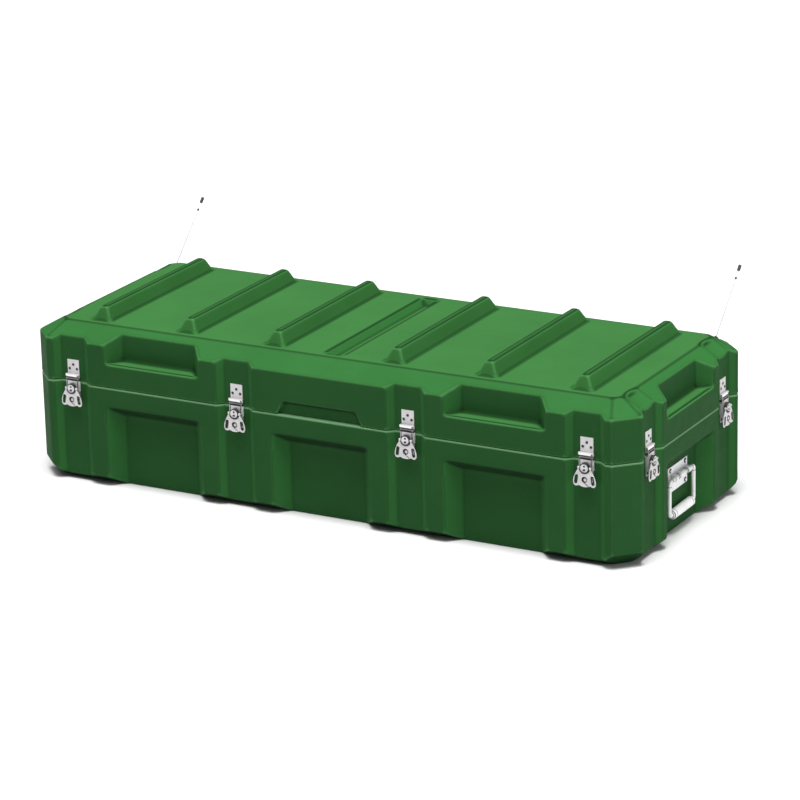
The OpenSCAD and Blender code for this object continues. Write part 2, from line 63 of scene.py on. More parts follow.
CAMERA_TARGET = Vector((0.0318, 0, 0.1637))     # the point in the picture's middle, in metres
CAMERA_AZIMUTH = math.radians(28.89)
CAMERA_ELEVATION = math.radians(18.49)
CAMERA_ROLL = math.radians(-1.4)
CAMERA_DISTANCE = 7.1122
CAMERA_LENS_MM = 172.05
SENSOR_MM = 36
SUNS = [        # name, tilt to the right, tilt to the front, spread, strength
    ("key", 4, 9, 26, 2.9),
    ("top", 0, 10, 60, 1.7),
    ("side", 74, 0, 30, 0.75),
]
SURROUND_STRENGTH = 0.12
FLOOR_HALF = 30
FLOOR_DROP = 0.0005     # keeps the floor clear of the case's underside


def make_camera():
    """Camera at the viewing angle, from its azimuth from the front, its elevation and its roll."""
    a, e, r = CAMERA_AZIMUTH, CAMERA_ELEVATION, CAMERA_ROLL
    back = Vector((math.sin(a) * math.cos(e), -math.cos(a) * math.cos(e), math.sin(e)))
    level = Vector((math.cos(a), math.sin(a), 0))
    upright = back.cross(level)
    right = math.cos(r) * level + math.sin(r) * upright
    up = -math.sin(r) * level + math.cos(r) * upright
    data = bpy.data.cameras.new("camera")
    data.lens = CAMERA_LENS_MM
    data.sensor_width = SENSOR_MM
    data.clip_end = 100
    camera = bpy.data.objects.new("camera", data)
    place = CAMERA_TARGET + CAMERA_DISTANCE * back
    camera.matrix_world = Matrix.Translation(place) @ Matrix((right, up, back)).transposed().to_4x4()
    bpy.context.scene.collection.objects.link(camera)
    bpy.context.scene.camera = camera


def soft_sun(name, tilt_right, tilt_front, spread, strength):
    """Broad light: its two tilts away from straight overhead and its spread, in degrees."""
    data = bpy.data.lights.new(name, "SUN")
    data.angle = math.radians(spread)
    data.energy = strength
    light = bpy.data.objects.new(name, data)
    towards = Vector((math.tan(math.radians(tilt_right)), -math.tan(math.radians(tilt_front)), 1))
    light.rotation_euler = towards.to_track_quat("Z", "Y").to_euler()
    light.location = 5 * towards
    bpy.context.scene.collection.objects.link(light)


def make_stage():
    """Plain pale floor, broad light from above and a dim even surround."""
    scene = bpy.context.scene
    scene.view_settings.view_transform = "Standard"
    world = bpy.data.worlds.new("studio")
    world.use_nodes = True
    world.node_tree.nodes["Background"].inputs["Color"].default_value = (1, 1, 1, 1)
    world.node_tree.nodes["Background"].inputs["Strength"].default_value = SURROUND_STRENGTH
    scene.world = world
    for sun in SUNS:
        soft_sun(*sun)
    mesh = bpy.data.meshes.new("floor")
    corners = [(FLOOR_HALF * x, FLOOR_HALF * y, 0) for x, y in ((-1, -1), (1, -1), (1, 1), (-1, 1))]
    mesh.from_pydata(corners, [], [(0, 1, 2, 3)])
    floor = bpy.data.objects.new("floor", mesh)
    floor.location.z = -FLOOR_DROP
    scene.collection.objects.link(floor)
    mesh.materials.append(plain_floor())


# ---- Materials ----

class Nodes:
    """Small helper that adds and links shader nodes of one material."""

    def __init__(self, name):
        self.material = bpy.data.materials.new(name)
        self.material.use_nodes = True
        self.tree = self.material.node_tree
        self.shader = self.tree.nodes["Principled BSDF"]

    def add(self, kind, **inputs):
        """A new node, with its inputs set by name."""
        node = self.tree.nodes.new(kind)
        for name, value in inputs.items():
            self.put(node, name.replace("_", " "), value)
        return node

    def put(self, node, name, value):
        """Links a socket to a node's input, or sets the input to a plain value."""
        socket = node.inputs[name]
        if isinstance(value, bpy.types.NodeSocket):
            self.tree.links.new(value, socket)
        else:
            socket.default_value = value

    def noise(self, scale, detail=3, rough=0.5, stretch=None):
        """Cloudy noise in the piece's own space, stretched along its axes if asked."""
        node = self.add("ShaderNodeTexNoise", Scale=scale, Detail=detail, Roughness=rough)
        place = self.add("ShaderNodeTexCoord").outputs["Object"]
        if stretch:
            mapping = self.add("ShaderNodeMapping", Vector=place, Scale=stretch)
            place = mapping.outputs["Vector"]
        self.put(node, "Vector", place)
        return node.outputs["Fac"]

    def span(self, fac, low, high, to_low=0.0, to_high=1.0):
        """The stretch from low to high, mapped to another one and held at its ends."""
        node = self.add("ShaderNodeMapRange")
        for index, value in enumerate((fac, low, high, to_low, to_high)):
            self.put(node, index, value)
        return node.outputs["Result"]

    def mix(self, fac, one, two):
        """A colour between two."""
        node = self.tree.nodes.new("ShaderNodeMix")
        node.data_type = "RGBA"
        for index, value in ((0, fac), (6, one), (7, two)):
            self.put(node, index, value)
        return node.outputs[2]

    def math(self, operation, one, two):
        node = self.tree.nodes.new("ShaderNodeMath")
        node.operation = operation
        self.put(node, 0, one)
        self.put(node, 1, two)
        return node.outputs[0]

    def attribute(self, name):
        """A value that the mesh holds for each vertex."""
        node = self.tree.nodes.new("ShaderNodeAttribute")
        node.attribute_name = name
        return node.outputs["Fac"]

    def bump(self, height, strength, distance, onto=None):
        node = self.add("ShaderNodeBump", Height=height, Strength=strength, Distance=distance)
        if onto is not None:
            self.put(node, "Normal", onto)
        return node.outputs["Normal"]


def srgb(r, g, b):
    """Scene-linear colour of an 8-bit display colour."""
    parts = [c / 255 for c in (r, g, b)]
    return tuple(c / 12.92 if c <= 0.04045 else ((c + 0.055) / 1.055) ** 2.4 for c in parts) + (1,)


def plain_floor():
    """Matt, light grey."""
    m = Nodes("pale_floor")
    m.put(m.shader, "Base Color", (0.8, 0.8, 0.8, 1))
    m.put(m.shader, "Roughness", 0.9)
    m.put(m.shader, "Specular IOR Level", 0.1)
    return m.material


def green_plastic():
    """Rotomoulded polyethylene with fine grain: painted lighter where it faces up and on slanted sides, pale
    worn edges that also carry a painted highlight, a painted highlight on the rim, painted shade in creases
    and under overhangs.
    """
    m = Nodes("green_plastic")
    up = m.attribute("facing_up")
    bend = m.attribute("bend")
    # Painted light: slanted side faces in recesses get a lighter green.
    body = m.mix(m.attribute("side_lit"), WALL, SIDE_LIT_GREEN)
    # Painted light and shade: the more a face points up, the lighter its green.
    body = m.mix(m.span(up, 0.15, 0.42), body, RIB_SIDE)
    body = m.mix(m.span(up, 0.5, 0.8), body, SLOPE)
    body = m.mix(m.span(up, 0.88, 0.97), body, TOP)
    body = m.mix(m.math("MULTIPLY", m.span(m.noise(9, 4), 0.3, 0.7), 0.1), body, SHADE_AND_MOTTLE)
    speck = m.span(m.noise(420, 2, 0.7), 0.62, 0.75)
    body = m.mix(m.math("MULTIPLY", speck, 0.1), body, SCUFF_AND_HIGHLIGHT)
    # Painted shade: faces that look down near the outside, such as the panels' top ledges, are darkened.
    body = m.mix(m.math("MULTIPLY", m.attribute("overhang_shade"), 0.75), body, SHADE_AND_MOTTLE)
    # Pale worn edges on convex bends, lightened further as a painted highlight; the same pale green makes the
    # random specks above.
    edge_mark_noise = m.span(m.noise(70, 5, 0.65), 0.35, 0.7)
    edge_wear_and_highlight = m.math("ADD", m.math("MULTIPLY", edge_mark_noise, 0.15), 0.25)
    edge = m.math("MULTIPLY", m.span(bend, 0.2, 0.8), edge_wear_and_highlight)
    body = m.mix(m.math("MULTIPLY", edge, m.span(up, 0.97, 0.8)), body, SCUFF_AND_HIGHLIGHT)
    # Painted shade: a dark line along gentle convex edges beside the tops.
    ridge = m.math("MULTIPLY", m.span(bend, 0.06, 0.2), m.span(bend, 0.6, 0.4))
    body = m.mix(m.math("MULTIPLY", m.math("MULTIPLY", ridge, m.span(up, 0.8, 0.9)), 0.7), body, SHADE_AND_MOTTLE)
    # Painted shade in concave creases.
    body = m.mix(m.math("MULTIPLY", m.span(bend, -0.1, -0.5), 0.65), body, SHADE_AND_MOTTLE)
    # Painted shade at the feet of ribs, on faces that look up.
    foot = m.math("MULTIPLY", m.span(bend, -0.06, -0.2), m.span(up, 0.3, 0.5))
    body = m.mix(m.math("MULTIPLY", foot, 0.4), body, SHADE_AND_MOTTLE)
    # Painted highlight along the base's rim at the parting line.
    body = m.mix(m.attribute("rim_highlight"), body, RIM_HIGHLIGHT)
    m.put(m.shader, "Base Color", body)
    m.put(m.shader, "Roughness", m.span(m.noise(35, 4), 0.3, 0.7, 0.55, 0.66))
    m.put(m.shader, "Specular IOR Level", 0.04)
    wave = m.bump(m.noise(14, 2), 0.08, 0.004)
    grain = m.bump(m.noise(1500, 2, 0.6), 0.12, 0.0004, wave)
    m.put(m.shader, "Normal", grain)
    return m.material


def plated_steel(name, colour, rough, metallic=0.55, brush=(1, 1, 14)):
    """Zinc-plated steel: fine brushed grain, a cloudy sheen; a vertex attribute darkens it as painted shade,
    or paints it bright as a highlight where it is negative."""
    m = Nodes(name)
    cloud = m.span(m.noise(60, 4), 0.3, 0.7)
    darker = tuple(c * 0.86 for c in colour[:3]) + (1,)
    mark = m.attribute("shade_and_highlight")
    shade_and_highlight = m.span(mark, 0, 1)
    body = m.mix(shade_and_highlight, m.mix(cloud, darker, colour), (0.012, 0.012, 0.012, 1))
    m.put(m.shader, "Base Color", m.mix(m.span(mark, 0, -1), body, (0.95, 0.95, 0.95, 1)))
    m.put(m.shader, "Metallic", m.math("MULTIPLY", m.math("SUBTRACT", 1.0, shade_and_highlight), metallic))
    streak = m.noise(300, 3, 0.6, brush)
    m.put(m.shader, "Roughness", m.math("ADD", m.span(streak, 0.3, 0.7, rough - 0.06, rough + 0.08),
                                        m.math("MULTIPLY", shade_and_highlight, 0.3)))
    m.put(m.shader, "Normal", m.bump(streak, 0.1, 0.0002))
    return m.material


def moulded(name, colour, rough, grain=900, depth=0.0002):
    """Plain moulded plastic or rubber with a fine grain, slight colour drift and painted shade in its
    grooves, from a vertex attribute.
    """
    m = Nodes(name)
    darker = tuple(c * 0.9 for c in colour[:3]) + (1,)
    body = m.mix(m.span(m.noise(40, 3), 0.3, 0.7), darker, colour)
    m.put(m.shader, "Base Color", m.mix(m.attribute("shade_and_highlight"), body, (0.02, 0.02, 0.02, 1)))
    m.put(m.shader, "Roughness", m.span(m.noise(120, 3), 0.3, 0.7, rough - 0.05, rough + 0.08))
    m.put(m.shader, "Normal", m.bump(m.noise(grain, 2), 0.15, depth))
    return m.material


# The green plastic: lit and shaded copies of one green, painted by how a face leans; then its scuffs, the
# painted highlight on worn edges and the rim, and painted shade in creases.
TOP = srgb(60, 116, 60)
SLOPE = srgb(50, 109, 53)
RIB_SIDE = srgb(50, 102, 50)
WALL = srgb(37, 80, 40)
SIDE_LIT_GREEN = srgb(44, 96, 47)
SCUFF_AND_HIGHLIGHT = srgb(108, 172, 110)
RIM_HIGHLIGHT = srgb(134, 178, 136)
SHADE_AND_MOTTLE = srgb(8, 24, 10)

MATERIALS = {
    "green_shell": green_plastic(),
    "gasket_rubber": moulded("gasket_rubber", (0.05, 0.05, 0.05, 1), 0.8),
    "zinc_sheet": plated_steel("zinc_sheet", (0.68, 0.66, 0.67, 1), 0.45, 0.4),
    "cam_steel": plated_steel("cam_steel", (0.7, 0.69, 0.7, 1), 0.4, 0.4),
    "rivet_steel": plated_steel("rivet_steel", (0.3, 0.3, 0.31, 1), 0.4),
    "handle_steel": plated_steel("handle_steel", (0.93, 0.93, 0.94, 1), 0.4, 0.1),
    "bolt_steel": plated_steel("bolt_steel", (0.95, 0.95, 0.95, 1), 0.4, 0.1),
    "spring_steel": plated_steel("spring_steel", (0.97, 0.97, 0.97, 1), 0.35, 0.05),
    "rod_steel": plated_steel("rod_steel", (0.55, 0.55, 0.56, 1), 0.4, 0.2),
    "grip_plastic": moulded("grip_plastic", (0.97, 0.97, 0.96, 1), 0.4),
    "black_fitting": moulded("black_fitting", (0.02, 0.02, 0.02, 1), 0.55),
}


# ---- Making pieces ----

WELD = 2e-6             # vertices closer than this are one


def piece(name, mesh, node):
    """Links a mesh as the piece that stands for a CAD node, with that node's body and material slot."""
    obj = bpy.data.objects.new(name, mesh)
    bpy.context.scene.collection.objects.link(obj)
    slot = SLOTS[node]
    mesh.materials.clear()
    mesh.materials.append(MATERIALS[slot])
    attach(obj, BODIES[node])
    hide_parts(node)
    return obj


def node_copy(node):
    """Plain copy of a CAD node's mesh with its split vertices joined."""
    bm = bmesh.new()
    bm.from_mesh(frame["nodes"][node].data)
    bmesh.ops.remove_doubles(bm, verts=bm.verts, dist=WELD)
    mesh = bpy.data.meshes.new(node + "_copy")
    bm.to_mesh(mesh)
    bm.free()
    return mesh


def evaluated(mesh, name, modifiers):
    """A new mesh in place of the given one: it after a list of (modifier type, settings)."""
    obj = bpy.data.objects.new(name, mesh)
    bpy.context.scene.collection.objects.link(obj)
    for kind, settings in modifiers:
        modifier = obj.modifiers.new(kind, kind)
        for key, value in settings.items():
            setattr(modifier, key, value)
    graph = bpy.context.evaluated_depsgraph_get()
    result = bpy.data.meshes.new_from_object(obj.evaluated_get(graph))
    bpy.data.objects.remove(obj)
    bpy.data.meshes.remove(mesh)
    return result


def solids(node):
    """(lowest corner, highest corner) of each separate solid of a CAD node, in metres."""
    mesh = node_copy(node)
    bm = bmesh.new()
    bm.from_mesh(mesh)
    bpy.data.meshes.remove(mesh)
    boxes = []
    unseen = set(bm.verts)
    while unseen:
        group = [unseen.pop()]
        for vert in group:
            for edge in vert.link_edges:
                other = edge.other_vert(vert)
                if other in unseen:
                    unseen.remove(other)
                    group.append(other)
        co = np.array([v.co for v in group])
        boxes.append((Vector(co.min(0)), Vector(co.max(0))))
    bm.free()
    return sorted(boxes, key=lambda box: tuple(round(c, 5) for c in box[0]))


# ---- Shells ----

VOXEL = 0.0025
ROUNDS = 5              # of softening, over all edges
PANEL_ROUNDS = 14       # more of it, at the tops of the wall panels
BEND_FULL = 0.0004      # the pull of a vertex's neighbours at which an edge is fully bent
RIM_Z = JOINTS["lid_hinge"]["pos_m"][2]
HALF_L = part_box("lid_shell")[1].x
HALF_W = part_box("lid_shell")[1].y
CORNER_CUT = 0.04       # how much the outline's corners are cut back along each wall
RIM_BAND = 0.0145       # the rim's outer edge lies within this of the outline
# Height and strength of the highlight painted along the base rim's outer edge.
RIM_HIGHLIGHT_HEIGHT = 0.0028
RIM_HIGHLIGHT_SHARE = 0.42


def neighbour_mean(co, edges, count):
    """Mean of each vertex's neighbours."""
    out = np.empty_like(co)
    for axis in range(3):
        total = np.bincount(edges[:, 0], co[edges[:, 1], axis], len(co))
        total += np.bincount(edges[:, 1], co[edges[:, 0], axis], len(co))
        out[:, axis] = total / count
    return out


def soften(mesh, passes):
    """Rounds a dense mesh's edges, as a moulding's are, with a list of (rounds, weight), and stores how
    much each vertex bends and faces up, where a highlight is painted on the rim's edge, where light is
    painted on the walls' slants and where shade is painted under overhangs."""
    total = len(mesh.vertices)
    co = np.empty(total * 3, np.float32)
    mesh.vertices.foreach_get("co", co)
    co = co.reshape(-1, 3).astype(float)
    edges = np.empty(len(mesh.edges) * 2, np.int32)
    mesh.edges.foreach_get("vertices", edges)
    edges = edges.reshape(-1, 2)
    count = np.bincount(edges.ravel(), minlength=total).astype(float)
    for rounds, weight in passes:
        share = weight(co)[:, None]
        for _ in range(rounds):
            co += 0.5 * share * (neighbour_mean(co, edges, count) - co)
    mesh.vertices.foreach_set("co", co.astype(np.float32).ravel())
    mesh.update()
    normal = np.empty(total * 3, np.float32)
    mesh.vertices.foreach_get("normal", normal)
    normal = normal.reshape(-1, 3)
    pull = neighbour_mean(co, edges, count) - co
    bend = -(pull * normal).sum(axis=1)
    for _ in range(2):
        near = np.stack([bend] * 3, axis=1)
        bend = 0.5 * bend + 0.5 * neighbour_mean(near, edges, count)[:, 0]
    side, deep = np.abs(normal[:, 0]), inset(co)
    # the band where a highlight is painted along the base rim
    near_rim = (co[:, 2] < RIM_Z) & (co[:, 2] > RIM_Z - RIM_HIGHLIGHT_HEIGHT) & (deep < RIM_BAND)
    marks = {
        "bend": np.clip(bend / BEND_FULL, -1, 1),
        "facing_up": normal[:, 2],
        "rim_highlight": RIM_HIGHLIGHT_SHARE * near_rim,
        # where light is painted on slanted side faces in recesses
        "side_lit": (deep > 0.002) * np.clip(np.minimum((side - 0.2) / 0.2, (0.95 - side) / 0.15), 0, 1),
        # where shade is painted under downward faces near the outside
        "overhang_shade": np.clip((-normal[:, 2] - 0.25) / 0.45, 0, 1) * (deep < 0.03),
    }
    for name, values in marks.items():
        layer = mesh.attributes.new(name, "FLOAT", "POINT")
        layer.data.foreach_set("value", values.astype(np.float32))
    mesh.shade_smooth()


def inset(co):
    """How far each point lies inside the case's octagonal outline."""
    x, y = np.abs(co[:, 0]), np.abs(co[:, 1])
    corner = (HALF_L + HALF_W - CORNER_CUT - x - y) / math.sqrt(2)
    return np.minimum(np.minimum(HALF_L - x, HALF_W - y), corner)


def lid_weight(co):
    """Crisp beside the parting line, where the rim and the seal's groove are."""
    return np.clip((np.abs(co[:, 2] - RIM_Z) - 0.004) / 0.012, 0.08, 1)


def base_weight(co):
    """As the lid's, but with the outer edge of the rim eased."""
    return np.where(inset(co) < RIM_BAND, np.maximum(lid_weight(co), 0.4), lid_weight(co))


PANEL_HALF = 0.105
PANEL_TOP_Z = 0.147
PANEL_BLEND = 0.024     # how far above and below its top a panel is blended
PANEL_REACH = 0.032     # how far in from the outline a panel's blend goes
PANEL_X = (JOINTS["cam_turn_front_3"]["pos_m"][0] + JOINTS["cam_turn_front_4"]["pos_m"][0]) / 2


def panel_weight(co):
    """1 round the softly blended tops of the base's wall panels."""
    x, y, z = np.abs(co[:, 0]), np.abs(co[:, 1]), co[:, 2]
    high = np.clip(1 - np.abs(z - PANEL_TOP_Z) / PANEL_BLEND, 0, 1)
    front = (y > HALF_W - PANEL_REACH) & ((x < PANEL_HALF) | (np.abs(x - PANEL_X) < PANEL_HALF))
    end = (x > HALF_L - PANEL_REACH) & (y < PANEL_HALF)
    return np.clip(2.5 * high, 0, 1) * (front | end)


def make_shell(node, name, passes):
    """One moulded shell: the CAD solid as an even, dense mesh, softened."""
    mesh = evaluated(node_copy(node), name, [
        ("REMESH", {"mode": "VOXEL", "voxel_size": VOXEL, "use_smooth_shade": True}),
    ])
    mesh.name = name
    soften(mesh, passes)
    return piece(name, mesh, node)


# ---- Pieces with rounded edges ----

FITTING_ROUND = 0.0004
LINK_ROUND = 0.00035


def rounded(node, name, width, segments=2, angle=32):
    """CAD node with every sharp edge rounded, as pressed or cast metal has it."""
    mesh = node_copy(node)
    bm = bmesh.new()
    bm.from_mesh(mesh)
    bmesh.ops.dissolve_limit(bm, angle_limit=math.radians(1), verts=bm.verts, edges=bm.edges)
    sharp = [e for e in bm.edges if len(e.link_faces) == 2 and e.calc_face_angle() > math.radians(angle)]
    bmesh.ops.bevel(bm, geom=sharp, offset=width, offset_type="OFFSET", segments=segments, profile=0.6,
                    affect="EDGES", clamp_overlap=True)
    bmesh.ops.triangulate(bm, faces=[f for f in bm.faces if len(f.verts) > 4])
    bm.to_mesh(mesh)
    bm.free()
    mesh.name = name
    mesh.shade_smooth()
    mesh.set_sharp_from_angle(angle=math.radians(50))
    return mesh


class Build:
    """Collects turned, swept and flat forms in millimetres, then makes one mesh of them in the row frame."""

    def __init__(self):
        self.co, self.faces, self.shade_and_highlight = [], [], []

    def add(self, co, faces, shade_and_highlight=0.0):
        start = len(self.co)
        self.co += [Vector(c) for c in co]
        self.faces += [[start + i for i in face] for face in faces]
        self.shade_and_highlight += shade_and_highlight if isinstance(shade_and_highlight, list) else [shade_and_highlight] * len(co)

    def turned(self, origin, axis, profile, sides=36):
        """Turned form: a profile of (radius, distance along the axis, painted shade) from one end to the
        other.
        """
        axis = Vector(axis).normalized()
        u = axis.orthogonal().normalized()
        v = axis.cross(u)
        co, shade_and_highlight, faces = [], [], []
        for radius, along, mark in profile:
            for k in range(sides):
                t = 2 * math.pi * k / sides
                co.append(Vector(origin) + along * axis + radius * (math.cos(t) * u + math.sin(t) * v))
                shade_and_highlight.append(mark)
        for ring in range(len(profile) - 1):
            for k in range(sides):
                a, b = ring * sides + k, ring * sides + (k + 1) % sides
                faces.append([a, b, b + sides, a + sides])
        faces.append(list(reversed(range(sides))))
        faces.append([(len(profile) - 1) * sides + k for k in range(sides)])
        self.add(co, faces, shade_and_highlight)

    def tube(self, path, radius, closed=False, sides=14, shade_and_highlight=0.0):
        """Round wire along a path of points."""
        path = [Vector(p) for p in path]
        total = len(path)
        normal = None
        co, faces = [], []
        for i, point in enumerate(path):
            before = path[i - 1] if closed or i > 0 else point
            after = path[(i + 1) % total] if closed or i < total - 1 else point
            along = (after - before).normalized()
            normal = along.orthogonal() if normal is None else normal - normal.dot(along) * along
            normal.normalize()
            side = along.cross(normal)
            for k in range(sides):
                t = 2 * math.pi * k / sides
                co.append(point + radius * (math.cos(t) * normal + math.sin(t) * side))
        for i in range(total if closed else total - 1):
            for k in range(sides):
                a, b = i * sides + k, i * sides + (k + 1) % sides
                c, d = ((i + 1) % total) * sides + k, ((i + 1) % total) * sides + (k + 1) % sides
                faces.append([a, b, d, c])
        if not closed:
            faces.append(list(reversed(range(sides))))
            faces.append([(total - 1) * sides + k for k in range(sides)])
        self.add(co, faces, shade_and_highlight)

    def slab(self, low, high, edge=0.3, shade_and_highlight=0.0):
        """Block with bevelled edges between two corners."""
        bm = bmesh.new()
        bmesh.ops.create_cube(bm, size=1)
        size = Vector(high) - Vector(low)
        for vert in bm.verts:
            vert.co = Vector(low) + Vector([(c + 0.5) * s for c, s in zip(vert.co, size)])
        bmesh.ops.bevel(bm, geom=bm.edges[:], offset=edge, segments=2, profile=0.6, affect="EDGES")
        self.add([v.co.copy() for v in bm.verts], [[v.index for v in f.verts] for f in bm.faces], shade_and_highlight)
        bm.free()

    def plate(self, outlines, out, thickness, edge=0.25, shade_and_highlight=0.0):
        """Flat sheet with holes: closed outlines of (u, z), the outer one first, at the distance out."""
        curve = bpy.data.curves.new("outline", "CURVE")
        curve.dimensions = "2D"
        curve.fill_mode = "BOTH"
        curve.extrude = thickness / 2 - edge
        curve.bevel_depth = edge
        curve.bevel_resolution = 1
        curve.offset = -edge
        for outline in outlines:
            spline = curve.splines.new("POLY")
            spline.points.add(len(outline) - 1)
            for point, (u, z) in zip(spline.points, outline):
                point.co = (u, z, 0, 1)
            spline.use_cyclic_u = True
        obj = bpy.data.objects.new("outline", curve)
        bpy.context.scene.collection.objects.link(obj)
        mesh = bpy.data.meshes.new_from_object(obj.evaluated_get(bpy.context.evaluated_depsgraph_get()))
        bpy.data.objects.remove(obj)
        self.add([(v.co.x, -out - v.co.z, v.co.y) for v in mesh.vertices],
                 [list(p.vertices) for p in mesh.polygons], shade_and_highlight)
        bpy.data.meshes.remove(mesh)

    def mesh(self, name, place, smooth=40):
        """The collected forms as one mesh; place turns millimetres here into metres in the row frame."""
        mesh = bpy.data.meshes.new(name)
        mesh.from_pydata([place @ c for c in self.co], [], self.faces)
        layer = mesh.attributes.new("shade_and_highlight", "FLOAT", "POINT")
        layer.data.foreach_set("value", np.array(self.shade_and_highlight, np.float32))
        bm = bmesh.new()
        bm.from_mesh(mesh)
        bmesh.ops.remove_doubles(bm, verts=bm.verts, dist=1e-7)
        bmesh.ops.recalc_face_normals(bm, faces=bm.faces)
        bm.to_mesh(mesh)
        bm.free()
        mesh.shade_smooth()
        mesh.set_sharp_from_angle(angle=math.radians(smooth))
        return mesh

    def stand_for(self, node, name, place, smooth=40):
        """Makes the mesh, as the piece that stands for a CAD node."""
        return piece(name, self.mesh(name, place, smooth), node)


def arc(centre, radius, start, end, steps):
    """Points of an arc, in degrees."""
    turns = [math.radians(start + (end - start) * k / steps) for k in range(steps + 1)]
    return [(centre[0] + radius * math.cos(t), centre[1] + radius * math.sin(t)) for t in turns]


def place_at(origin, out):
    """Local millimetres to the row frame: X along the wall, -Y out of it, Z up."""
    out, up = Vector(out), Vector((0, 0, 1))
    along = (-out).cross(up)
    turn = Matrix((along, -out, up)).transposed().to_4x4()
    return Matrix.Translation(Vector(origin)) @ turn @ Matrix.Scale(MM, 4)


# ---- Latches ----

# The wing's own measures, from its pivot: across, and up.
WING_SHEET = 1.2
WING_EAR_U = 11.2
WING_NOTCH_R = 10.4
WING_HOLE = (0, -21.5)
WING_HOLE_R = 5
SLOT_U = 12.8
SLOT_R = 2.2
SLOT_TOP_Z, SLOT_BOTTOM_Z = -18.2, -29.2
SLOT_LEAN = math.radians(8)


def wing_outline():
    """The folding wing's outline, with its pivot at the origin."""
    half = [(12.8, 0.6), (12.8, -3), (15.4, -7), (18, -12), (20.4, -17.5), (21.9, -23), (22.2, -28),
            (21.2, -31.5), (19.2, -33.9), (16.4, -34.5), (13.6, -33.8), (11.4, -32.4), (9, -33.4), (5, -34.8)]
    return half + [(0, -35.3)] + [(-u, z) for u, z in reversed(half)]


def slot_outline(side, grow=0.0):
    """A wing's long slot, leaning a little."""
    lean = side * SLOT_LEAN
    u, r = side * SLOT_U, SLOT_R + grow
    loop = arc((u, SLOT_TOP_Z), r, 0, 180, 8) + arc((u, SLOT_BOTTOM_Z), r, 180, 360, 8)
    return [(u * math.cos(lean) - z * math.sin(lean), u * math.sin(lean) + z * math.cos(lean))
            for u, z in loop]


def make_wing(name):
    """Pressed wing: rimmed slots, a hole with a sprung tab, and two rolled ears on the cross pin."""
    node = "wing_" + name
    place = latch_place(name)
    out = pin_out(name)
    b = Build()
    notch = [(9.6, 0.6), (9.6, -3.9)] + arc((0, 0), WING_NOTCH_R, -22.2, -157.8, 16)
    notch += [(-9.6, -3.9), (-9.6, 0.6)]
    outer = wing_outline() + list(reversed(notch))
    hole = arc(WING_HOLE, WING_HOLE_R, 0, 345, 23)
    b.plate([outer, slot_outline(-1), slot_outline(1), hole], out, WING_SHEET)
    for side in (-1, 1):
        rim = [(u, -out - 0.75, z) for u, z in slot_outline(side, 1.3)]
        b.tube(rim, 0.45, closed=True, sides=8)
        # Dark rings painted as shade round the slots.
        dark = [(u, -out - 0.5, z) for u, z in slot_outline(side, 0.1)]
        b.tube(dark, 0.95, closed=True, sides=8, shade_and_highlight=1.0)
        b.turned((side * WING_EAR_U, -out, 0), (side, 0, 0),
                 [(0.6, -1.6, 0), (2.1, -1.6, 0), (2.4, -1.3, 0), (2.4, 1.3, 0), (2.1, 1.6, 0),
                  (0.6, 1.6, 0)], 24)
    # Dark lines painted as shade along the notch's and the hole's edges.
    notch_edge = arc((0, 0), WING_NOTCH_R + 0.1, -164, -16, 24)
    b.tube([(u, -out - 0.6, z) for u, z in notch_edge], 0.45, sides=6, shade_and_highlight=1.0)
    hole_edge = arc(WING_HOLE, WING_HOLE_R - 0.1, 0, 350, 30)
    b.tube([(u, -out - 0.5, z) for u, z in hole_edge], 0.6, closed=True, sides=8, shade_and_highlight=1.0)
    # A dark disc in the hole, painted as the shade inside it; then the light tab.
    b.turned((0, -out, WING_HOLE[1]), (0, -1, 0), [(5.3, -0.5, 1), (5.3, -0.3, 1), (0.1, -0.25, 1)], 28)
    b.turned((1.3, -out, -21.8), (0, -1, 0),
             [(3.1, -0.4, 0), (3.1, 0.2, 0), (2.8, 0.4, 0), (0.1, 0.45, 0)], 28)
    # A dark diagonal line painted as shade below the hole.
    b.tube([(-3.4, -out - 0.5, -25.0), (7.4, -out - 0.5, -33.2)], 0.6, sides=8, shade_and_highlight=1.0)
    return b.stand_for(node, node + "_pressed", place)


def latch_place(name):
    """A latch's local frame, with the cam's axis as its origin."""
    joint = JOINTS["cam_turn_" + name]
    return place_at(joint["pos_m"], joint["axis"])


def node_span(node, place):
    """A CAD node's box in the local frame of a place, in millimetres."""
    back = place.inverted()
    low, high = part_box(node)
    co = np.array([back @ Vector((x, y, z))
                   for x in (low.x, high.x) for y in (low.y, high.y) for z in (low.z, high.z)])
    return Vector(co.min(0)), Vector(co.max(0))


def pin_out(name):
    """How far out of the wall a latch's cross pin stands, in millimetres."""
    step = Vector(JOINTS["wing_fold_" + name]["pos_m"]) - Vector(JOINTS["cam_turn_" + name]["pos_m"])
    return 1000 * step.length


